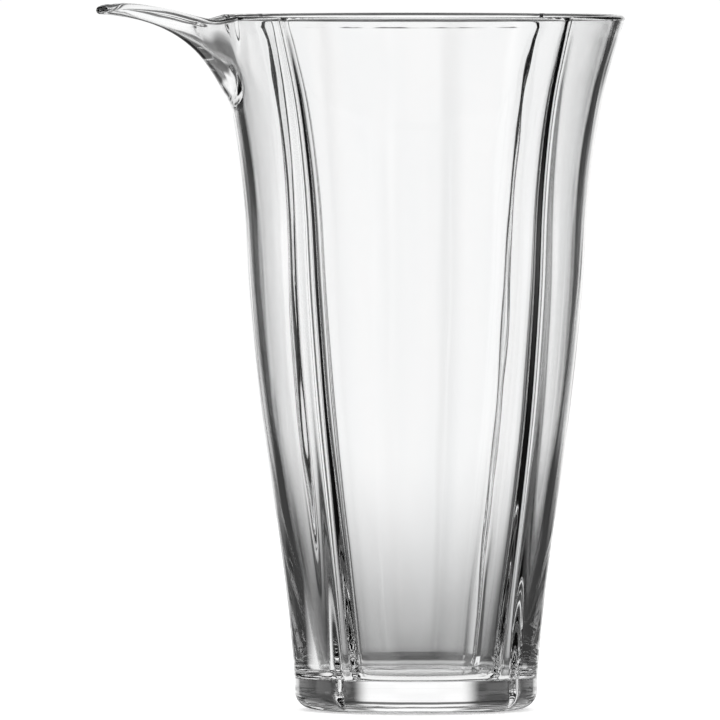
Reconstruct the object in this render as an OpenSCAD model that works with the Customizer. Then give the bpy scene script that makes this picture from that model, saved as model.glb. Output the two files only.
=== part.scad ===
// Mixing glass: four-lobed flared glass vessel on a solid foot, with a long open pouring beak.
// Millimetres, +Z up. The origin is the centre of the resting face, and the beak points along -X.
// The glass is formed in four regions that meet face to face: foot, wall, beak and melted lip.

/* [Size] */
// Height of the rim above the table
height = 170; // [150:1:185]
// Radius of the body's outline where it meets the table
foot_r = 29.1; // [26:0.1:33]
// Radius of the rim across its lobes
rim_r = 51.4; // [46:0.1:56]
// Thickness of the solid foot under the cavity
floor_t = 7.8; // [7:0.2:12]

/* [Belly] */
// Body radius at 15 % of the height
belly_15 = 31.4; // [28:0.1:35]
// Body radius at 30 % of the height
belly_30 = 34.7; // [31:0.1:38]
// Body radius at 45 % of the height
belly_45 = 38.2; // [34:0.1:41]
// Body radius at 60 % of the height
belly_60 = 40.7; // [36:0.1:44]
// Body radius at 75 % of the height
belly_75 = 42.4; // [38:0.1:46]
// Body radius at 88 % of the height
belly_88 = 45.7; // [41:0.1:50]

/* [Glass thickness] */
// Wall thickness at the rim
rim_t = 2.2; // [1.8:0.1:3]
// Wall thickness at the middle of the body
wall_t = 2.8; // [2.2:0.1:3.6]
// Extra wall thickness where the wall meets the foot
wall_root = 4.2; // [2:0.1:5]
// Share of the height over which that extra thickness fades out
root_share = 0.42; // [0.2:0.02:0.5]
// Radius of the hollow corner between the wall and the cavity floor
floor_fillet = 3; // [1:0.5:5]
// Radius of the rounded edge round the bottom of the foot
foot_edge = 5.5; // [2:0.5:6.5]

/* [Lobes] */
// Depth of the crease between two lobes, outside
crease_depth = 1.5; // [0.8:0.1:3]
// Extra depth of the crease at the foot
crease_root = 0.8; // [0:0.1:1.5]
// Share of the depth of the crease and its ridge that is lost by the rim
crease_fade = 0.75; // [0:0.05:0.9]
// Reach of the crease to each side at half height, outside
crease_reach = 2.1; // [1.5:0.1:5]
// Height of the soft ridge behind each crease, inside
ridge_height = 1.5; // [0.8:0.1:2.5]
// Reach of the ridge to each side at half height, inside
ridge_reach = 4.3; // [3:0.1:8]
// How far the ends of a lobe fall inside its middle at the rim
lobe_bulge = 1.6; // [0:0.1:3]
// Angle by which the lobes turn from the rim down to the table
twist = 3.5; // [0:0.5:8]
// Angle by which each side of the beak's lobe is drawn in
beak_lobe_pinch = 3.5; // [0:0.5:6]

/* [Beak] */
// Distance from the axis to the tip of the beak
beak_reach = 78.5; // [70:0.5:86]
// Half of the angle of rim that the beak grows out of, before its lobe is drawn in
beak_half_angle = 26.5; // [22:0.5:30]
// Height of the mouth of the channel in the wall, below the rim
mouth_depth = 17.5; // [12:0.5:24]
// Extra glass under the root of the channel
root_gather = 2.5; // [1.5:0.5:5]
// Thickness of the lip of the beak
beak_lip_t = 2; // [1.6:0.1:3]

/* [Hidden] */

glass_tint = [0.88, 0.92, 0.93, 0.55];

// Stations of the body's outline, as shares of the height, and its outer radius at each.
stations = [0, 0.15, 0.3, 0.45, 0.6, 0.75, 0.88, 1] * height;
radii = [foot_r, belly_15, belly_30, belly_45, belly_60, belly_75, belly_88, rim_r];

lobe_angle = 90;
half_lobe = lobe_angle / 2;
lip_r = rim_t / 2;
wall_top = height - lip_r;
beak_side = 180;

// Steps of the surface grid.
lobe_steps = 14;
crowding = 1.4;
beak_steps = 24;
shoulder_steps = 8;
wall_rows = 20;
beak_rows = 20;
lip_steps = 6;

// ---------- Curves ----------

// Slope of the curve through the points (xs, ys) at point i.
function slope(xs, ys, i) =
    let (a = max(i - 1, 0), b = min(i + 1, len(xs) - 1))
    (ys[b] - ys[a]) / (xs[b] - xs[a]);

// Smooth curve through the points (xs, ys), at x. The values may be numbers or vectors.
function smooth(xs, ys, x) =
    let (
        i = max([for (k = [0 : len(xs) - 2]) if (k == 0 || x >= xs[k]) k]),
        h = xs[i + 1] - xs[i],
        t = (x - xs[i]) / h,
        t2 = t * t,
        t3 = t2 * t
    )
    (2 * t3 - 3 * t2 + 1) * ys[i] + (t3 - 2 * t2 + t) * h * slope(xs, ys, i)
    + (3 * t2 - 2 * t3) * ys[i + 1] + (t3 - t2) * h * slope(xs, ys, i + 1);

function bezier(p0, p1, p2, p3, t) =
    let (s = 1 - t)
    s * s * s * p0 + 3 * s * s * t * p1 + 3 * s * t * t * p2 + t * t * t * p3;

function unit(v) = v / norm(v);
function mix(a, b, t) = a * (1 - t) + b * t;
function ease(t) = let (c = min(max(t, 0), 1)) c * c * (3 - 2 * c);
function around(a) = [cos(a), sin(a), 0];

// ---------- Lobed body ----------

// Outline radius of the body, before it is creased.
function body_r(z) = smooth(stations, radii, z);

// 1 at the table, fading to 0 where the foot's extra glass ends.
function root(z) = pow(max(0, 1 - z / (root_share * height)), 2);

// Wall thickness at height z. Above the middle of the body it thins at this power of the height.
thinning = 4;
function thickness(z) = mix(wall_t, rim_t, pow(z / height, thinning)) + wall_root * root(z);

// How much the hollow corner at the cavity floor narrows the cavity at height z.
function fillet(z) =
    let (up = min(max(z - floor_t, 0), floor_fillet))
    floor_fillet - sqrt(pow(floor_fillet, 2) - pow(floor_fillet - up, 2));

// Angle from the middle of the nearest lobe, -45 to 45.
function lobe_offset(a) = ((a + half_lobe) % lobe_angle + lobe_angle) % lobe_angle - half_lobe;

// 1 in the crease and 0 well away from it, for an outline of radius r.
function crease(a, r, reach) =
    let (gap = (half_lobe - abs(lobe_offset(a))) * r * PI / 180)
    1 / pow(1 + pow(gap / reach, 2), 2);

// Drop of the lobe's ends inside a circle.
function bulge(a, z) =
    lobe_bulge * pow(max(z / height, 0), 3) * pow(lobe_offset(a) / half_lobe, 2);

// Share of the full depth of a crease, and of the ridge behind it, at height z.
function depth_share(z) = 1 - crease_fade * pow(z / height, thinning);

// Share of a crease's full reach at height z: creases are narrower at the foot and the rim.
end_reach = 0.6;
function reach_share(z) = end_reach + (1 - end_reach) * sin(180 * z / height);

function outer_r(a, z) =
    let (r = body_r(z))
    r - bulge(a, z)
    - (crease_depth * depth_share(z) + crease_root * root(z))
    * crease(a, r, crease_reach * reach_share(z));

function inner_r(a, z) =
    let (r = body_r(z) - thickness(z))
    r - fillet(z) - bulge(a, z)
    - ridge_height * depth_share(z) * crease(a, r, ridge_reach * reach_share(z));

// Direction of angle a at height z, after the beak's lobe is drawn in and the lobes are turned.
function turned(a, z) =
    around(a + twist * (1 - z / wall_top) - beak_lobe_pinch * sin(2 * a) * (1 - cos(a)) / 2);

function body_point(inside, a, z) = (inside ? inner_r(a, z) : outer_r(a, z)) * turned(a, z) + [0, 0, z];

// ---------- Columns round the body ----------

// Angles from a crease to the middle of a lobe, crowded towards the crease.
function half_columns(steps, span) = [for (k = [0 : steps - 1]) span * pow(k / steps, crowding)];

lobe_columns = concat(
    [for (c = half_columns(lobe_steps, half_lobe)) c - half_lobe],
    [for (k = [lobe_steps : -1 : 1]) half_lobe - half_lobe * pow(k / lobe_steps, crowding)]
);
shoulder = half_lobe - beak_half_angle;
beak_lobe_columns = concat(
    [for (c = half_columns(shoulder_steps, shoulder)) c - half_lobe],
    [for (k = [0 : beak_steps]) mix(-beak_half_angle, beak_half_angle, k / beak_steps)],
    [for (k = [shoulder_steps - 1 : -1 : 1]) half_lobe - shoulder * pow(k / shoulder_steps, crowding)]
);
columns = concat(
    [for (side = [0, lobe_angle], c = lobe_columns) side + c],
    [for (c = beak_lobe_columns) beak_side + c],
    [for (c = lobe_columns) beak_side + lobe_angle + c]
);
beak_first = 2 * len(lobe_columns) + shoulder_steps;

// Place across the beak: -1 and 1 where its edges leave the rim, 0 in the middle.
function across(a) = (a - beak_side) / beak_half_angle;
function in_beak(a) = abs(across(a)) < 0.999;

// Top of the wall: the rim, or the U-shaped mouth of the channel.
mouth_power = 4;
function wall_end(inside, a) =
    in_beak(a)
    ? wall_top - (mouth_depth + (inside ? 0 : root_gather)) * (1 - pow(abs(across(a)), mouth_power))
    : wall_top;

// ---------- Beak ----------

rim_mid_r = (outer_r(beak_half_angle, wall_top) + inner_r(beak_half_angle, wall_top)) / 2;
rim_corner = rim_mid_r * turned(beak_side - beak_half_angle, wall_top) + [0, 0, wall_top];
crest_z = height + 2.1;

// Middle of the beak's edge on the +Y side, from the rim (0) to its tip (1): it pinches in from
// the rim to a narrow spout, dips behind the mouth and crests before the rounded tip.
edge_at = [0, 0.18, 0.38, 0.58, 0.78, 0.9, 1];
edge_points = [
    rim_corner,
    [-49.7, 14.7, height - 2],
    [-54.1, 9.5, height - 1.3],
    [-beak_reach + 17, 6.4, height + 0.6],
    [-beak_reach + 7.5, 4.6, crest_z],
    [-beak_reach + 2.8, 3.1, crest_z - 0.4],
    [-beak_reach + 1, 0, crest_z - 0.8]
];
// The curve goes on round the tip, so that it crosses the middle squarely.
edge_line_at = concat(edge_at, [2 - edge_at[5]]);
edge_line = concat(edge_points, [[edge_points[5][0], -edge_points[5][1], edge_points[5][2]]]);
function edge_mid(s) = smooth(edge_line_at, edge_line, s);
function edge_run(s) = unit(edge_mid(s + 0.01) - edge_mid(max(s - 0.01, 0)));

// Direction in which the sheet of glass reaches its edge: up along the sides, out at the tip.
rim_dir = [-0.33, 0, 1];
side_dir = [0, 0.45, 1];
tip_dir = [-1, 0, -0.12];
function edge_dir(s) =
    unit(mix(mix(rim_dir, side_dir, ease(s / 0.4)), tip_dir, ease((s - 0.6) / 0.4)));

// Middle of the edge moved by half a thickness, into the channel or to the underside.
function edge_point(inside, s) =
    edge_mid(s)
    + unit(cross(edge_dir(s), edge_run(s))) * (inside ? 0.5 : -0.5) * mix(rim_t, beak_lip_t, s);

// Middle line of the channel, and of the underside, from the wall (0) to the tip (1).
channel_rise = [-1, 0, 6.5];
channel_run = [21, 0, -3.5];
underside_rise = [-4.4, 0, 5];
underside_run = [25, 0, -1.7];
keel_lead = 1.9;
function keel(inside, s) =
    let (
        root = body_point(inside, beak_side, wall_end(inside, beak_side)),
        tip = edge_point(inside, 1),
        rise = inside ? channel_rise : underside_rise,
        run = inside ? channel_run : underside_run,
        t = s * (keel_lead - (keel_lead - 1) * s)
    )
    bezier(root, root + rise, tip + run, tip, t);

// Section across the beak: v is -1 at its +Y edge, 0 at the keel and 1 at its -Y edge.
trough_power = 2.4;
function section(inside, s, v) =
    let (k = keel(inside, s), e = edge_point(inside, s))
    [mix(k[0], e[0], v * v), -v * e[1], mix(k[2], e[2], pow(abs(v), trough_power))];

// A point of the beak's sheet. It starts exactly on the mouth of the channel in the wall.
root_fade = 3;
function beak_point(inside, s, v) =
    let (a = beak_side + v * beak_half_angle)
    section(inside, s, v)
    + (body_point(inside, a, wall_end(inside, a)) - section(inside, 0, v)) * pow(1 - s, root_fade);

// ---------- Meshes ----------

function split(quads) = [
    for (q = quads, f = [[q[0], q[1], q[2]], [q[0], q[2], q[3]]])
        if (f[0] != f[1] && f[1] != f[2] && f[2] != f[0]) f
];

// Closed solid from rings of points that run round one after the other; the last joins the first.
module ring_solid(rings) {
    n = len(rings[0]);
    m = len(rings);
    points = [for (ring = rings, p = ring) p];
    quads = [
        for (j = [0 : m - 1], i = [0 : n - 1])
            [j * n + i, j * n + (i + 1) % n, ((j + 1) % m) * n + (i + 1) % n, ((j + 1) % m) * n + i]
    ];
    polyhedron(points = points, faces = split(quads));
}

// The foot has straight sides that carry on from the wall, and a rounded edge at the table.
side_r = outer_r(0, floor_t);
module foot() {
    color(glass_tint)
    intersection() {
        linear_extrude(floor_t)
            polygon([for (a = columns) let (p = body_point(false, a, floor_t)) [p[0], p[1]]]);
        rotate_extrude($fn = 96)
            union() {
                square([side_r - foot_edge, floor_t]);
                translate([0, foot_edge])
                    square([rim_r, floor_t - foot_edge]);
                translate([side_r - foot_edge, foot_edge])
                    circle(foot_edge, $fn = 48);
            }
    }
}

module wall() {
    color(glass_tint)
    ring_solid(concat(
        [for (k = [0 : wall_rows])
            [for (a = columns) body_point(false, a, mix(floor_t, wall_end(false, a), k / wall_rows))]],
        [for (k = [wall_rows : -1 : 0])
            [for (a = columns) body_point(true, a, mix(floor_t, wall_end(true, a), k / wall_rows))]]
    ));
}

module beak() {
    sheet = (beak_rows * (beak_steps + 1)) + 1;
    points = [
        for (inside = [false, true])
            each concat(
                [for (j = [0 : beak_rows - 1], k = [0 : beak_steps])
                    beak_point(inside, j / beak_rows, 2 * k / beak_steps - 1)],
                [beak_point(inside, 1, 0)]
            )
    ];
    // Index of the point in row j and column k; the last row is the one point at the tip.
    function at(side, j, k) = side * sheet + (j == beak_rows ? sheet - 1 : j * (beak_steps + 1) + k);
    quads = concat(
        [for (j = [0 : beak_rows - 1], k = [0 : beak_steps - 1])
            [at(0, j, k), at(0, j, k + 1), at(0, j + 1, k + 1), at(0, j + 1, k)]],
        [for (j = [0 : beak_rows - 1], k = [0 : beak_steps - 1])
            [at(1, j + 1, k), at(1, j + 1, k + 1), at(1, j, k + 1), at(1, j, k)]],
        [for (k = [0 : beak_steps - 1]) [at(1, 0, k), at(1, 0, k + 1), at(0, 0, k + 1), at(0, 0, k)]],
        [for (j = [0 : beak_rows - 1]) [at(1, j, 0), at(0, j, 0), at(0, j + 1, 0), at(1, j + 1, 0)]],
        [for (j = [0 : beak_rows - 1])
            let (k = beak_steps)
            [at(0, j, k), at(1, j, k), at(1, j + 1, k), at(0, j + 1, k)]]
    );
    color(glass_tint)
    polyhedron(points = points, faces = split(quads));
}

// Ends of the sheet all the way round, each as [outer point, inner point, direction it ends in]:
// the rim, then the beak's +Y edge out to the tip, then its -Y edge back.
function flip(v, side) = [v[0], side * v[1], v[2]];
function beak_end(s, side) =
    [beak_point(false, s, -side), beak_point(true, s, -side), flip(edge_dir(s), side)];
tip_end = [beak_point(false, 1, 0), beak_point(true, 1, 0), edge_dir(1)];
rim_columns = [
    for (k = [0 : len(columns) - 1])
        let (a = columns[(k + beak_first + beak_steps) % len(columns)]) if (!in_beak(a)) a
];
sheet_ends = concat(
    [for (a = rim_columns)
        [body_point(false, a, wall_top), body_point(true, a, wall_top), [0, 0, 1]]],
    [for (j = [1 : beak_rows - 1]) beak_end(j / beak_rows, 1)],
    [tip_end],
    [for (j = [beak_rows - 1 : -1 : 1]) beak_end(j / beak_rows, -1)]
);

module lip() {
    color(glass_tint)
    ring_solid([
        for (k = [0 : lip_steps])
            [for (end = sheet_ends)
                let (mid = (end[0] + end[1]) / 2, half = end[0] - mid, turn = 180 * k / lip_steps)
                mid + half * cos(turn) + end[2] * norm(half) * sin(turn)]
    ]);
}

foot();
wall();
beak();
lip();
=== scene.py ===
"""Mixing glass: one continuous piece of clear glass, shown as its foot, wall, beak and lip.

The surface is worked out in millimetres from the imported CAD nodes: their heights, radii and wall
thickness are read from the frame, and the same curves as the CAD's are drawn between them on a
much finer grid. The four pieces share their seams exactly, and take their smooth shading from the
whole surface, so that light crosses from one to the next as it does in one piece of glass.
"""

import math

import bpy
import numpy as np
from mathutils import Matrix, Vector


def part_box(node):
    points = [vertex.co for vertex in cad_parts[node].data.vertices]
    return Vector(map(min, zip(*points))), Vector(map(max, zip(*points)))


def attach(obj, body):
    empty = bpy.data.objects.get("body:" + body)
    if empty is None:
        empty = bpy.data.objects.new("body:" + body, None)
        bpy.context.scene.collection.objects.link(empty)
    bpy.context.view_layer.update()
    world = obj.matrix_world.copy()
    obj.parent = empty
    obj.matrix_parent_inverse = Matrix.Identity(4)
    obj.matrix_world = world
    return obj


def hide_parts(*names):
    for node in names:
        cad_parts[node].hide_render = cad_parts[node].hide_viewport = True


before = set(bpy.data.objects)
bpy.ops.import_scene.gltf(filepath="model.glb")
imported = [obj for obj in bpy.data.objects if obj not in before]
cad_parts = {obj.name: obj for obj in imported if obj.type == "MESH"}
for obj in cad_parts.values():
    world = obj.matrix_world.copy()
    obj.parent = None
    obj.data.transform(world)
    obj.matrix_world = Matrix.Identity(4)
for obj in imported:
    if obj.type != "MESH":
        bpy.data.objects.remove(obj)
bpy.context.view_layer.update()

MM = 0.001
HALF_LOBE = 45.0
BEAK_SIDE = 180.0

# ---------------------------------------------------------------- sizes that the frame gives


def box_mm(node):
    lo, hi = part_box(node)
    return np.array(lo) / MM, np.array(hi) / MM


_, FOOT_HI = box_mm("foot")
_, WALL_HI = box_mm("wall")
LIP_LO, LIP_HI = box_mm("lip")

FLOOR_T = FOOT_HI[2]
WALL_TOP = WALL_HI[2]
BEAK_LIP_T = 2.0
RIM_T = 2.2
LIP_R = RIM_T / 2
HEIGHT = WALL_TOP + LIP_R
# Radius of the body's outline at the top of the foot, and the reach and crest of the beak's lip.
SIDE_R = FOOT_HI[0]
TIP_X = LIP_LO[0]
CREST_Z = LIP_HI[2] - BEAK_LIP_T / 2
# Degrees by which the lobes turn from the rim down to the table, and the beak's is drawn in.
TWIST = 3.5
BEAK_LOBE_PINCH = 3.5
COLUMN_HALF_WIDTH = 0.05


def turned(a, z):
    """Real direction of angle a at height z, in radians, with the lobes' turn and pinch."""
    a = np.radians(a)
    pinch = BEAK_LOBE_PINCH * np.sin(2 * a) * (1 - np.cos(a)) / 2
    return a + np.radians(TWIST * (1 - z / WALL_TOP) - pinch)


def cad_column(angle):
    """Heights of the CAD wall's rows in the column at this angle, and its outer and inner radii."""
    co = np.array([v.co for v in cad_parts["wall"].data.vertices], float) / MM
    off = np.degrees(np.arctan2(co[:, 1], co[:, 0]) - turned(angle, co[:, 2]))
    co = co[np.abs((off + 180) % 360 - 180) < COLUMN_HALF_WIDTH]
    r, z = np.hypot(co[:, 0], co[:, 1]), np.round(co[:, 2], 2)
    rows = np.unique(z)
    outer = np.array([r[z == row].max() for row in rows])
    inner = np.array([r[z == row].min() for row in rows])
    return rows, outer, inner


# ---------------------------------------------------------------- curves


def smooth(xs, ys, x):
    """Smooth curve through the points (xs, ys), at each x. The values may be numbers or vectors."""
    xs, ys, x = np.asarray(xs, float), np.asarray(ys, float), np.asarray(x, float)
    n = len(xs)
    i = np.clip(np.searchsorted(xs, x, side="right") - 1, 0, n - 2)
    before, after = np.maximum(np.arange(n) - 1, 0), np.minimum(np.arange(n) + 1, n - 1)
    run = xs[after] - xs[before]
    slopes = (ys[after] - ys[before]) / (run if ys.ndim == 1 else run[:, None])
    h, t = xs[i + 1] - xs[i], (x - xs[i]) / (xs[i + 1] - xs[i])
    if ys.ndim > 1:
        h, t = h[..., None], t[..., None]
    t2, t3 = t * t, t * t * t
    return (
        (2 * t3 - 3 * t2 + 1) * ys[i]
        + (t3 - 2 * t2 + t) * h * slopes[i]
        + (3 * t2 - 2 * t3) * ys[i + 1]
        + (t3 - t2) * h * slopes[i + 1]
    )


def ease(t):
    t = np.clip(t, 0, 1)
    return t * t * (3 - 2 * t)


def mix(a, b, t):
    return a * (1 - t) + b * t


def unit(v):
    return v / np.linalg.norm(v, axis=-1, keepdims=True)


def points(x, y, z):
    return np.stack(np.broadcast_arrays(np.asarray(x, float), y, z), axis=-1)


# ---------------------------------------------------------------- lobed body

LOBE_ANGLE = 2 * HALF_LOBE
FILLET = 3.0
LOBE_BULGE = 1.6
BULGE_POWER = 3
# Reach of a crease outside and of its ridge inside, at half height, and its share at both ends.
CREASE_REACH = 2.1
RIDGE_REACH = 4.3
END_REACH = 0.6
BEAD = 0.1
BEAD_DEPTH = 1.6

ROWS, LOBE_OUT, LOBE_IN = cad_column(0)
_, CREASE_OUT, CREASE_IN = cad_column(HALF_LOBE)
LOBE_IN[0] += FILLET
CREASE_IN[0] += FILLET


def lobe_offset(a):
    """How far round angle a lies from the middle of its lobe."""
    return (a + HALF_LOBE) % LOBE_ANGLE - HALF_LOBE


def bulge(a, z):
    """How far a lobe at angle a falls inside its own middle."""
    share = np.maximum(z / HEIGHT, 0) ** BULGE_POWER
    return LOBE_BULGE * share * (lobe_offset(a) / HALF_LOBE) ** 2


def crease(a, r, reach):
    """Share of a crease's depth at angle a: 1 in its middle, and a quarter at its reach."""
    gap = np.radians(HALF_LOBE - np.abs(lobe_offset(a))) * r
    return 1 / (1 + (gap / reach) ** 2) ** 2


def reach_share(z):
    return END_REACH + (1 - END_REACH) * np.sin(np.pi * np.clip(z / HEIGHT, 0, 1))


def bead(z):
    """Swelling of the fire-polished rim, on each side of the wall."""
    return BEAD * np.exp(-(((WALL_TOP - z) / BEAD_DEPTH) ** 2))


def outer_r(a, z):
    r = smooth(ROWS, LOBE_OUT, z)
    depth = r - smooth(ROWS, CREASE_OUT, z) - bulge(HALF_LOBE, z)
    return r - bulge(a, z) - depth * crease(a, r, CREASE_REACH * reach_share(z)) + bead(z)


def fillet(z):
    """How far the hollow corner over the cavity floor comes in from the wall."""
    up = np.clip(z - FLOOR_T, 0, FILLET)
    return FILLET - np.sqrt(np.maximum(FILLET**2 - (FILLET - up) ** 2, 0))


def inner_r(a, z):
    r = smooth(ROWS, LOBE_IN, z)
    depth = r - smooth(ROWS, CREASE_IN, z) - bulge(HALF_LOBE, z)
    ridge = depth * crease(a, r, RIDGE_REACH * reach_share(z))
    return r - fillet(z) - bulge(a, z) - ridge - bead(z)


def body_point(inside, a, z):
    r = inner_r(a, z) if inside else outer_r(a, z)
    return points(r * np.cos(turned(a, z)), r * np.sin(turned(a, z)), z)


# ---------------------------------------------------------------- beak

BEAK_HALF_ANGLE = 26.5
MOUTH_DEPTH = 17.5
MOUTH_POWER = 4
ROOT_GATHER = 2.5
ROOT_FADE = 3
TROUGH_POWER = 2.4
KEEL_LEAD = 1.9
# How the middle line leaves the wall and reaches the tip, for the channel and for the underside.
CHANNEL_RISE, CHANNEL_RUN = (-1, 0, 6.5), (21, 0, -3.5)
UNDERSIDE_RISE, UNDERSIDE_RUN = (-4.4, 0, 5), (25, 0, -1.7)
# Direction in which the glass reaches its edge at the rim, along the beak's side and at its tip,
# and the shares of the beak over which one turns into the next.
RIM_DIR, SIDE_DIR, TIP_DIR = (-0.33, 0, 1), (0, 0.45, 1), (-1, 0, -0.12)
SIDE_BY, TIP_FROM, TURN_SPAN = 0.4, 0.6, 0.4
EDGE_STEP = 0.01


def wall_end(inside, a):
    """Top of the wall at angle a: the rim, or the U-shaped mouth of the beak's channel."""
    v = np.clip(np.abs((a % 360 - BEAK_SIDE) / BEAK_HALF_ANGLE), 0, 1)
    return WALL_TOP - (MOUTH_DEPTH + (0 if inside else ROOT_GATHER)) * (1 - v**MOUTH_POWER)


def rim_middle(a):
    return (body_point(False, a, WALL_TOP) + body_point(True, a, WALL_TOP)) / 2


# Middle of the beak's +Y edge, from the rim out round the tip, at shares of its length.
CORNER = rim_middle(BEAK_SIDE - BEAK_HALF_ANGLE)
EDGE_AT = [0, 0.18, 0.38, 0.58, 0.78, 0.9, 1, 1.1]
EDGE_POINTS = [
    CORNER,
    (-49.7, 14.7, HEIGHT - 2),
    (-54.1, 9.5, HEIGHT - 1.3),
    (TIP_X + 17, 6.4, HEIGHT + 0.6),
    (TIP_X + 7.5, 4.6, CREST_Z + 0.1),
    (TIP_X + 2.8, 3.1, CREST_Z - 0.3),
    (TIP_X + 1, 0, CREST_Z - 0.7),
    (TIP_X + 2.8, -3.1, CREST_Z - 0.3),
]


def edge_mid(s):
    return smooth(EDGE_AT, np.array(EDGE_POINTS), s)


def edge_dir(s):
    """Direction in which the sheet reaches its edge: up along the sides, and out at the tip."""
    s = np.asarray(s, float)[..., None]
    rim, side, tip = (np.array(d, float) for d in (RIM_DIR, SIDE_DIR, TIP_DIR))
    return unit(mix(mix(rim, side, ease(s / SIDE_BY)), tip, ease((s - TIP_FROM) / TURN_SPAN)))


def edge_point(inside, s):
    """A point of the beak's edge, on the channel's side of it or on the underside."""
    s = np.asarray(s, float)
    run = unit(edge_mid(s + EDGE_STEP) - edge_mid(np.maximum(s - EDGE_STEP, 0)))
    half = mix(RIM_T, BEAK_LIP_T, s)[..., None] / 2 * (1 if inside else -1)
    return edge_mid(s) + unit(np.cross(edge_dir(s), run)) * half


def keel(inside, s):
    """Middle line of the channel, or of the underside, from the wall (0) to the tip (1)."""
    root = body_point(inside, BEAK_SIDE, wall_end(inside, BEAK_SIDE))
    tip = edge_point(inside, 1.0)
    rise = np.array(CHANNEL_RISE if inside else UNDERSIDE_RISE)
    run = np.array(CHANNEL_RUN if inside else UNDERSIDE_RUN)
    t = (s * (KEEL_LEAD - (KEEL_LEAD - 1) * s))[..., None]
    u = 1 - t
    return u**3 * root + 3 * u * u * t * (root + rise) + 3 * u * t * t * (tip + run) + t**3 * tip


def section(inside, s, v):
    """A point of the rounded trough between the middle line and the edge."""
    k, e = keel(inside, s), edge_point(inside, s)
    return points(
        mix(k[..., 0], e[..., 0], v * v),
        -v * e[..., 1],
        mix(k[..., 2], e[..., 2], np.abs(v) ** TROUGH_POWER),
    )


def beak_point(inside, s, v):
    """A point of the beak's sheet: s runs out along the beak, v across it, both from its mouth."""
    s, v = np.broadcast_arrays(np.asarray(s, float), np.asarray(v, float))
    a = BEAK_SIDE + v * BEAK_HALF_ANGLE
    start = body_point(inside, a, wall_end(inside, a))
    off = start - section(inside, np.zeros_like(s), v)
    return section(inside, s, v) + off * ((1 - s) ** ROOT_FADE)[..., None]


# ---------------------------------------------------------------- the whole skin

LOBE_STEPS = 46
CROWDING = 1.4
SHOULDER_STEPS = 26
BEAK_STEPS = 84
BEAK_ROWS = 90
WALL_ROWS = 114
FILLET_ROWS = 10
LIP_STEPS = 12
EDGE_ROWS = 14
SIDE_ROWS = 4
# Sizes of the rings that close a flat face, as shares of its outline.
FLAT_RINGS = [0.985, 0.95, 0.9, 0.8, 0.65, 0.5, 0.35, 0.2, 0.08]
FOOT_EDGE = 5.5
EDGE_SOFT = 0.6
WELD_DIGITS = 5


def crowded(steps, span):
    """Offsets from a crease, crowded towards it: 0 first, and up to but without the whole span."""
    return span * (np.arange(steps) / steps) ** CROWDING


def lobe_columns(centre):
    """Angles of a whole lobe's columns, from one of its creases up to but without the other."""
    half = crowded(LOBE_STEPS, HALF_LOBE)
    return np.concatenate([centre - HALF_LOBE + half, [centre], centre + HALF_LOBE - half[:0:-1]])


def shoulder_columns(crease_at, sign):
    """Angles of the columns from a crease to one side of the beak."""
    half = crowded(SHOULDER_STEPS, HALF_LOBE - BEAK_HALF_ANGLE)
    return crease_at + sign * half


# Angles round the rim, from the beak's -Y corner on to its +Y corner, and across the beak.
RIM_COLUMNS = np.concatenate(
    [
        [BEAK_SIDE + BEAK_HALF_ANGLE],
        shoulder_columns(BEAK_SIDE + HALF_LOBE, -1)[:0:-1],
        *[lobe_columns(BEAK_SIDE + k * LOBE_ANGLE) for k in (1, 2, 3)],
        shoulder_columns(BEAK_SIDE + 360 - HALF_LOBE, 1),
        [BEAK_SIDE + 360 - BEAK_HALF_ANGLE],
    ]
)
ACROSS = np.linspace(-1, 1, BEAK_STEPS + 1)
MOUTH_COLUMNS = BEAK_SIDE + BEAK_HALF_ANGLE * ACROSS + 360
COLUMNS = np.concatenate([RIM_COLUMNS, MOUTH_COLUMNS[1:-1]])

patches = []


def patch(piece, grid, skin=True, closed=False, flip=False):
    """Adds a grid of points to a piece. Skin is the glass's real surface, and the rest is seam."""
    if closed:
        grid = np.concatenate([grid, grid[:, :1]], axis=1)
    patches.append((piece, grid[:, ::-1] if flip else grid, skin))


def ring(inside, f):
    """Points round the wall at a share f of the way from the cavity floor to the wall's top."""
    return body_point(inside, COLUMNS, mix(FLOOR_T, wall_end(inside, COLUMNS), f))


def foot_ring(turn):
    """Points round the foot's rounded edge, from its side (0 degrees) to the table (90)."""
    side = outer_r(COLUMNS, FLOOR_T)
    circle = SIDE_R - FOOT_EDGE + FOOT_EDGE * math.cos(math.radians(turn))
    over = np.maximum(side - circle, 0)
    r = side - over * over / (over + EDGE_SOFT)
    at = turned(COLUMNS, FLOOR_T)
    return points(r * np.cos(at), r * np.sin(at), FOOT_EDGE * (1 - math.sin(math.radians(turn))))


def disc(rim):
    """Rings from a flat outline in to its centre."""
    centre = np.array([0, 0, rim[0, 2]])
    rings = [mix(centre, rim, f) for f in FLAT_RINGS]
    return np.array([rim] + rings + [np.tile(centre, (len(rim), 1))])


floor_outer, floor_inner = ring(False, 0.0), ring(True, 0.0)
side_rings = [mix(floor_outer, foot_ring(0.0), k / SIDE_ROWS) for k in range(SIDE_ROWS)]
edge_rings = [foot_ring(90 * k / EDGE_ROWS) for k in range(EDGE_ROWS + 1)]
patch("foot", np.array(side_rings + edge_rings)[::-1], closed=True)
patch("foot", disc(edge_rings[-1])[::-1], closed=True)
patch("foot", disc(floor_inner), closed=True)
patch("foot", np.array([floor_outer, floor_inner]), skin=False, closed=True)
patch("wall", np.array([floor_outer, floor_inner]), skin=False, closed=True, flip=True)

patch("wall", np.array([ring(False, k / WALL_ROWS) for k in range(WALL_ROWS + 1)]), closed=True)
rise = [1 - math.cos(math.pi / 2 * k / FILLET_ROWS) for k in range(FILLET_ROWS)]
fillet_share = FILLET / (WALL_TOP - FLOOR_T)
inner_shares = [fillet_share * r for r in rise]
inner_shares += list(np.linspace(fillet_share, 1, WALL_ROWS + 1))
patch("wall", np.array([ring(True, f) for f in inner_shares]), closed=True, flip=True)

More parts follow.
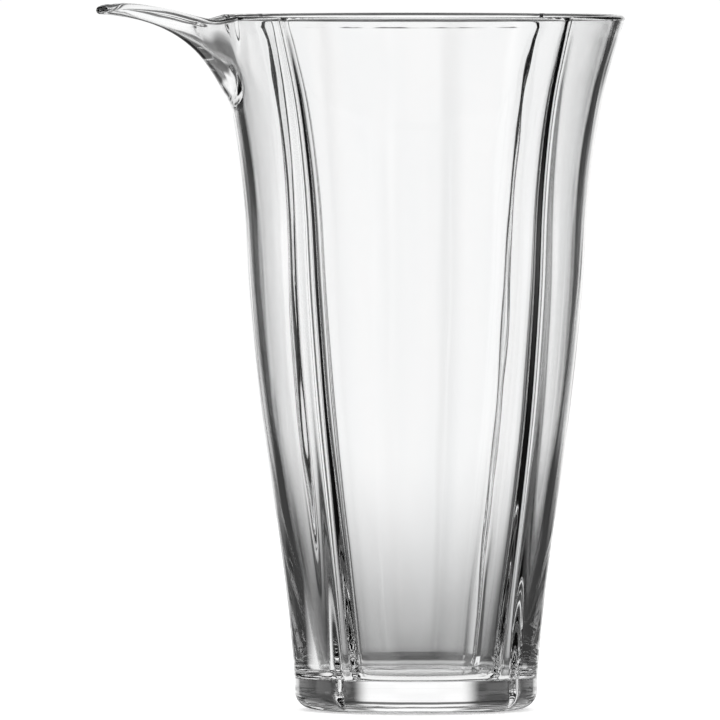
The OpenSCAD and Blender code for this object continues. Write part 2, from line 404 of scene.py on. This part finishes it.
mouth = [body_point(i, MOUTH_COLUMNS, wall_end(i, MOUTH_COLUMNS)) for i in (False, True)]
rim = [body_point(i, RIM_COLUMNS, WALL_TOP) for i in (False, True)]
patch("wall", np.array(mouth), skin=False)
patch("wall", np.array(rim), skin=False)
patch("beak", np.array(mouth), skin=False, flip=True)

ALONG = np.linspace(0, 1, BEAK_ROWS + 1)
sheets = [beak_point(i, ALONG[:, None], ACROSS[None, :]) for i in (False, True)]
for sheet in sheets:
    sheet[-1] = sheet[-1, BEAK_STEPS // 2]
    sheet[0] = mouth[0] if sheet is sheets[0] else mouth[1]
patch("beak", sheets[0])
patch("beak", sheets[1], flip=True)

# The sheet's free end all the way round: the rim, the beak's +Y edge out, its -Y edge back.
edge = [np.concatenate([s[1:, 0], s[-2:0:-1, -1]]) for s in sheets]
out_dir = edge_dir(ALONG[1:])
back_dir = edge_dir(ALONG[-2:0:-1]) * np.array([1, -1, 1])
ends = [np.concatenate([rim[i], edge[i]]) for i in (0, 1)]
end_dir = np.concatenate([np.tile([0, 0, 1.0], (len(RIM_COLUMNS), 1)), out_dir, back_dir])
middle, half = (ends[0] + ends[1]) / 2, (ends[0] - ends[1]) / 2
width = np.linalg.norm(half, axis=1, keepdims=True)
lift = np.minimum(width, LIP_R)
bends = [math.pi * k / LIP_STEPS for k in range(LIP_STEPS + 1)]
lip_rings = [middle + half * math.cos(b) + end_dir * lift * math.sin(b) for b in bends]
patch("lip", np.array(lip_rings), closed=True)
patch("lip", np.array(ends)[::-1], skin=False, closed=True)
free = [np.concatenate([s[:, 0], s[-2::-1, -1]]) for s in sheets]
patch("beak", np.array(free), skin=False)

# ---------------------------------------------------------------- one shared set of vertices


def gather():
    """Every patch's quads as indices into one set of points, with the piece and kind of each."""
    stacks, quads, owner, skin, start = [], [], [], [], 0
    for piece, grid, is_skin in patches:
        rows, cols = grid.shape[:2]
        at = start + np.arange(rows * cols).reshape(rows, cols)
        q = np.stack([at[:-1, :-1], at[:-1, 1:], at[1:, 1:], at[1:, :-1]], axis=-1).reshape(-1, 4)
        stacks.append(grid.reshape(-1, 3))
        quads.append(q)
        owner += [piece] * len(q)
        skin += [is_skin] * len(q)
        start += rows * cols
    every = np.concatenate(stacks)
    _, first, same = np.unique(
        np.round(every, WELD_DIGITS), axis=0, return_index=True, return_inverse=True
    )
    return every[first], same.ravel()[np.concatenate(quads)], np.array(owner), np.array(skin)


co, quads, owner, skin = gather()
MELT_REACH = 3.5
MELT_PASSES = 30
MELT_PULL = 0.5
# Only points up to this far inside the mouth, and above this height, are measured against it.
MELT_ASIDE = 8
MELT_FROM_Z = 130
CHUNKS = 40
FAR = 1e9
TINY = 1e-30


def soften_mouth(co):
    """Melts the corner where the beak leaves the wall, as hot glass flows when it's drawn out."""
    line = np.concatenate([mouth[0][2:-2], mouth[1][2:-2]])
    beside = mouth[1][:, 0].max() + MELT_ASIDE
    near = np.where((co[:, 0] < beside) & (co[:, 2] > MELT_FROM_Z))[0]
    gap = np.full(len(co), FAR)
    for at in np.array_split(near, CHUNKS):
        gap[at] = np.linalg.norm(co[at][:, None] - line[None], axis=2).min(axis=1)
    share = ease(1 - gap / MELT_REACH)
    edges = np.concatenate([quads[skin][:, [k, (k + 1) % 4]] for k in range(4)])
    edges = edges[edges[:, 0] != edges[:, 1]]
    edges = edges[(share[edges] > 0).any(axis=1)]
    for _ in range(MELT_PASSES):
        total, count = np.zeros_like(co), np.zeros(len(co))
        for i, j in ((0, 1), (1, 0)):
            np.add.at(total, edges[:, i], co[edges[:, j]])
            np.add.at(count, edges[:, i], 1)
        ok = (count > 0) & (share > 0)
        target = total[ok] / count[ok][:, None]
        co[ok] += (target - co[ok]) * share[ok][:, None] * MELT_PULL
    return co


co = soften_mouth(co) * MM


def face_areas(q):
    """Area vectors of quads, some of which are triangles with a repeated corner."""
    return np.cross(co[q[:, 2]] - co[q[:, 0]], co[q[:, 3]] - co[q[:, 1]]) / 2


normals = np.zeros_like(co)
for k in range(4):
    np.add.at(normals, quads[skin][:, k], face_areas(quads[skin]))
normals = unit(normals + TINY)

# ---------------------------------------------------------------- materials


# Width, height and detail of each pattern in the glass, the first two in millimetres.
WAVES = (14, 160, 2)
RIPPLES = (5, 45, 1)
POLISH = (22, 22, 3)
CORDS = (9, 120, 2)
WAVE_DEPTH = 0.15
RIPPLE_DEPTH = 0.03
PATTERN_LOW, PATTERN_HIGH = 0.35, 0.65
DULLEST = 0.02
CORD_TINT = (0.982, 0.986, 0.988, 1)
GLASS_IOR = 1.52
WHITE = (1, 1, 1, 1)


def principled(name):
    mat = bpy.data.materials.new(name)
    mat.use_nodes = True
    return mat, mat.node_tree.nodes["Principled BSDF"]


def clear_glass():
    """Colourless polished glass, with the waves, cords and uneven polish of hand work."""
    mat, glass = principled("clear_glass")
    nodes, links = mat.node_tree.nodes, mat.node_tree.links
    where = nodes.new("ShaderNodeTexCoord").outputs["Object"]

    def noise(wide, tall, detail):
        """Soft pattern with features this wide and this tall, in millimetres."""
        scale = nodes.new("ShaderNodeMapping")
        scale.inputs["Scale"].default_value = (1000 / wide, 1000 / wide, 1000 / tall)
        links.new(where, scale.inputs["Vector"])
        texture = nodes.new("ShaderNodeTexNoise")
        texture.inputs["Scale"].default_value = 1
        texture.inputs["Detail"].default_value = detail
        links.new(scale.outputs["Vector"], texture.inputs["Vector"])
        return texture.outputs["Fac"]

    def bump(height, depth_mm, under=None):
        node = nodes.new("ShaderNodeBump")
        node.inputs["Strength"].default_value = 1
        node.inputs["Distance"].default_value = depth_mm * MM
        links.new(height, node.inputs["Height"])
        if under:
            links.new(under, node.inputs["Normal"])
        return node.outputs["Normal"]

    def up_to(most, pattern):
        """Spreads the middle of a pattern's values from 0 up to the most."""
        node = nodes.new("ShaderNodeMapRange")
        links.new(pattern, node.inputs["Value"])
        node.inputs["From Min"].default_value = PATTERN_LOW
        node.inputs["From Max"].default_value = PATTERN_HIGH
        node.inputs["To Min"].default_value = 0
        node.inputs["To Max"].default_value = most
        return node.outputs["Result"]

    waves = bump(noise(*WAVES), WAVE_DEPTH)
    ripples = bump(noise(*RIPPLES), RIPPLE_DEPTH, waves)
    links.new(ripples, glass.inputs["Normal"])
    links.new(up_to(DULLEST, noise(*POLISH)), glass.inputs["Roughness"])
    tint = nodes.new("ShaderNodeMix")
    tint.data_type = "RGBA"
    tint.inputs["A"].default_value = WHITE
    tint.inputs["B"].default_value = CORD_TINT
    links.new(up_to(1, noise(*CORDS)), tint.inputs["Factor"])
    links.new(tint.outputs["Result"], glass.inputs["Base Color"])
    glass.inputs["Transmission Weight"].default_value = 1
    glass.inputs["IOR"].default_value = GLASS_IOR
    return mat


def seam():
    """Nothing at all: inside the glass, where two pieces meet, light passes straight on."""
    mat, clear = principled("seam")
    clear.inputs["Alpha"].default_value = 0
    return mat


GLASS, SEAM = clear_glass(), seam()

# ---------------------------------------------------------------- pieces


def make_piece(node):
    """One closed mesh, shaded with the whole skin's normals on its glass surface."""
    mine = owner == node
    faces, is_skin, areas = quads[mine], skin[mine], face_areas(quads[mine])
    used, local = np.unique(faces, return_inverse=True)
    local = local.reshape(faces.shape)
    polygons, kinds, loop_normals = [], [], []
    for q, corners, smooth_face, area in zip(local.tolist(), faces.tolist(), is_skin, areas):
        keep = [k for k in range(4) if q[k] != q[k - 1]]
        if len(keep) < 3:
            continue
        polygons.append([q[k] for k in keep])
        kinds.append(0 if smooth_face else 1)
        flat = area / (np.linalg.norm(area) + TINY)
        loop_normals += [normals[corners[k]] if smooth_face else flat for k in keep]
    mesh = bpy.data.meshes.new("glass_" + node)
    mesh.from_pydata(co[used].tolist(), [], polygons)
    mesh.polygons.foreach_set("material_index", kinds)
    mesh.polygons.foreach_set("use_smooth", [True] * len(polygons))
    mesh.materials.append(GLASS)
    mesh.materials.append(SEAM)
    mesh.normals_split_custom_set([tuple(n) for n in loop_normals])
    piece = bpy.data.objects.new("glass_" + node, mesh)
    bpy.context.scene.collection.objects.link(piece)
    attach(piece, "root")
    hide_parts(node)


for node in ("foot", "wall", "beak", "lip"):
    make_piece(node)

# ---------------------------------------------------------------- stage

# The camera stands a little round from the lobe opposite, and looks slightly down.
CAMERA_TURN = math.radians(5.0)
CAMERA_AWAY = 4.75
CAMERA_Z = 0.232
TARGET_Z = 0.0855
TARGET_ASIDE = -0.0137
VIEW_HALF_WIDTH = 0.08817
CLIP_END = 20

FLOOR_SIZE = 1.2
FLOOR_Z = -0.0002
FLOOR_GREY = (0.9, 0.9, 0.9, 1)
FLOOR_ROUGHNESS = 0.8
FLOOR_GLOW = 0.4

# Brightness of the gaps between the panels and of the panels, and the share left at their feet.
GAP, PANEL = 0.07, 1.02
PANEL_FOOT = 0.10
GROUND_PANEL = 0.95
# The least that any direction shows, and what straight up and straight down show.
DIMMEST = 0.045
STEEP = 0.9
ROOM_LIGHT = 1.25


def make_floor():
    mesh = bpy.data.meshes.new("floor")
    ways = ((-1, -1), (1, -1), (1, 1), (-1, 1))
    corners = [(x * FLOOR_SIZE, y * FLOOR_SIZE, FLOOR_Z) for x, y in ways]
    mesh.from_pydata(corners, [], [(0, 1, 2, 3)])
    floor = bpy.data.objects.new("floor", mesh)
    bpy.context.scene.collection.objects.link(floor)
    mat, paint = principled("pale_floor")
    paint.inputs["Base Color"].default_value = FLOOR_GREY
    paint.inputs["Roughness"].default_value = FLOOR_ROUGHNESS
    paint.inputs["Emission Color"].default_value = WHITE
    paint.inputs["Emission Strength"].default_value = FLOOR_GLOW
    mesh.materials.append(mat)
    floor.visible_transmission = False
    floor.visible_glossy = False


def make_world():
    """A white studio that the glass sees as bright panels with dark gaps between them."""
    world = bpy.data.worlds.new("studio")
    bpy.context.scene.world = world
    world.use_nodes = True
    nodes, links = world.node_tree.nodes, world.node_tree.links
    nodes.clear()

    def maths(operation, a, b=0.0):
        node = nodes.new("ShaderNodeMath")
        node.operation = operation
        for socket, value in zip(node.inputs, (a, b)):
            if isinstance(value, bpy.types.NodeSocket):
                links.new(value, socket)
            else:
                socket.default_value = value
        return node.outputs[0]

    def ramp(value, start, end, low, high):
        """Eases from low, where the value is at the start, to high, where it's at the end."""
        node = nodes.new("ShaderNodeMapRange")
        node.interpolation_type = "SMOOTHSTEP"
        links.new(value, node.inputs[0])
        for socket, number in zip(node.inputs[1:5], (start, end, low, high)):
            socket.default_value = number
        return node.outputs[0]

    def down(degrees):
        """Height of a direction this many degrees below the horizon."""
        return math.sin(math.radians(-degrees))

    direction = nodes.new("ShaderNodeSeparateXYZ")
    links.new(nodes.new("ShaderNodeTexCoord").outputs["Generated"], direction.inputs[0])
    azimuth = maths("ARCTAN2", direction.outputs[0], direction.outputs[1])
    up = direction.outputs[2]

    def panels(turn, dark_from, bright_to):
        """Bright panels every 90 degrees round, fading to dark away from their middles."""
        around = maths("MULTIPLY", maths("SUBTRACT", azimuth, turn), 2.0)
        wave = maths("ABSOLUTE", maths("COSINE", around))
        dark, bright = (math.cos(math.radians(2 * d)) for d in (dark_from, bright_to))
        return ramp(wave, dark, bright, GAP, PANEL)

    # Panels stand round the glass, and fade towards their feet. Others lie on the ground, close to
    # the glass and, on the camera's side, nearly out to the horizon, and light the glass for whoever
    # looks down on it. Steep directions are bright, and none is quite black.
    feet = ramp(up, down(11.5), down(2.8), PANEL_FOOT, 1.0)
    level = maths("MULTIPLY", panels(CAMERA_TURN, 23, 15), feet)
    ground = maths("MULTIPLY", panels(math.pi / 4, 26, 12), GROUND_PANEL)
    near_side = ramp(direction.outputs[1], -0.15, 0.1, 1.0, 0.0)
    near_ground = maths("MULTIPLY", ramp(up, down(6), down(2), 1.0, 0.0), near_side)
    below = maths("MAXIMUM", ramp(up, down(20), down(16), 1.0, 0.0), near_ground)
    above = maths("SUBTRACT", 1.0, below)
    seen = maths("ADD", maths("MULTIPLY", ground, below), maths("MULTIPLY", level, above))
    steep = ramp(maths("ABSOLUTE", up), down(-32), down(-52), DIMMEST, STEEP)
    seen = maths("MAXIMUM", seen, steep)

    # The camera sees plain white past the glass, and matt surfaces get even light.
    path = nodes.new("ShaderNodeLightPath")
    seen = maths("MAXIMUM", seen, path.outputs["Is Camera Ray"])
    seen = maths("MAXIMUM", seen, maths("MULTIPLY", path.outputs["Is Diffuse Ray"], ROOM_LIGHT))
    background = nodes.new("ShaderNodeBackground")
    background.inputs["Color"].default_value = WHITE
    links.new(seen, background.inputs["Strength"])
    links.new(background.outputs[0], nodes.new("ShaderNodeOutputWorld").inputs[0])


def make_camera():
    right = Vector((math.cos(CAMERA_TURN), -math.sin(CAMERA_TURN), 0))
    away = Vector((-math.sin(CAMERA_TURN), -math.cos(CAMERA_TURN), 0))
    target = right * TARGET_ASIDE + Vector((0, 0, TARGET_Z))
    camera = bpy.data.objects.new("camera", bpy.data.cameras.new("camera"))
    camera.location = right * TARGET_ASIDE + away * CAMERA_AWAY + Vector((0, 0, CAMERA_Z))
    look = target - camera.location
    camera.rotation_euler = look.to_track_quat("-Z", "Y").to_euler()
    camera.data.lens = camera.data.sensor_width / 2 * look.length / VIEW_HALF_WIDTH
    camera.data.clip_end = CLIP_END
    bpy.context.scene.collection.objects.link(camera)
    bpy.context.scene.camera = camera


make_floor()
make_world()
make_camera()

scene = bpy.context.scene
scene.view_settings.view_transform = "Standard"
scene.cycles.max_bounces = 24
scene.cycles.transmission_bounces = 24
scene.cycles.glossy_bounces = 8
scene.cycles.transparent_max_bounces = 24
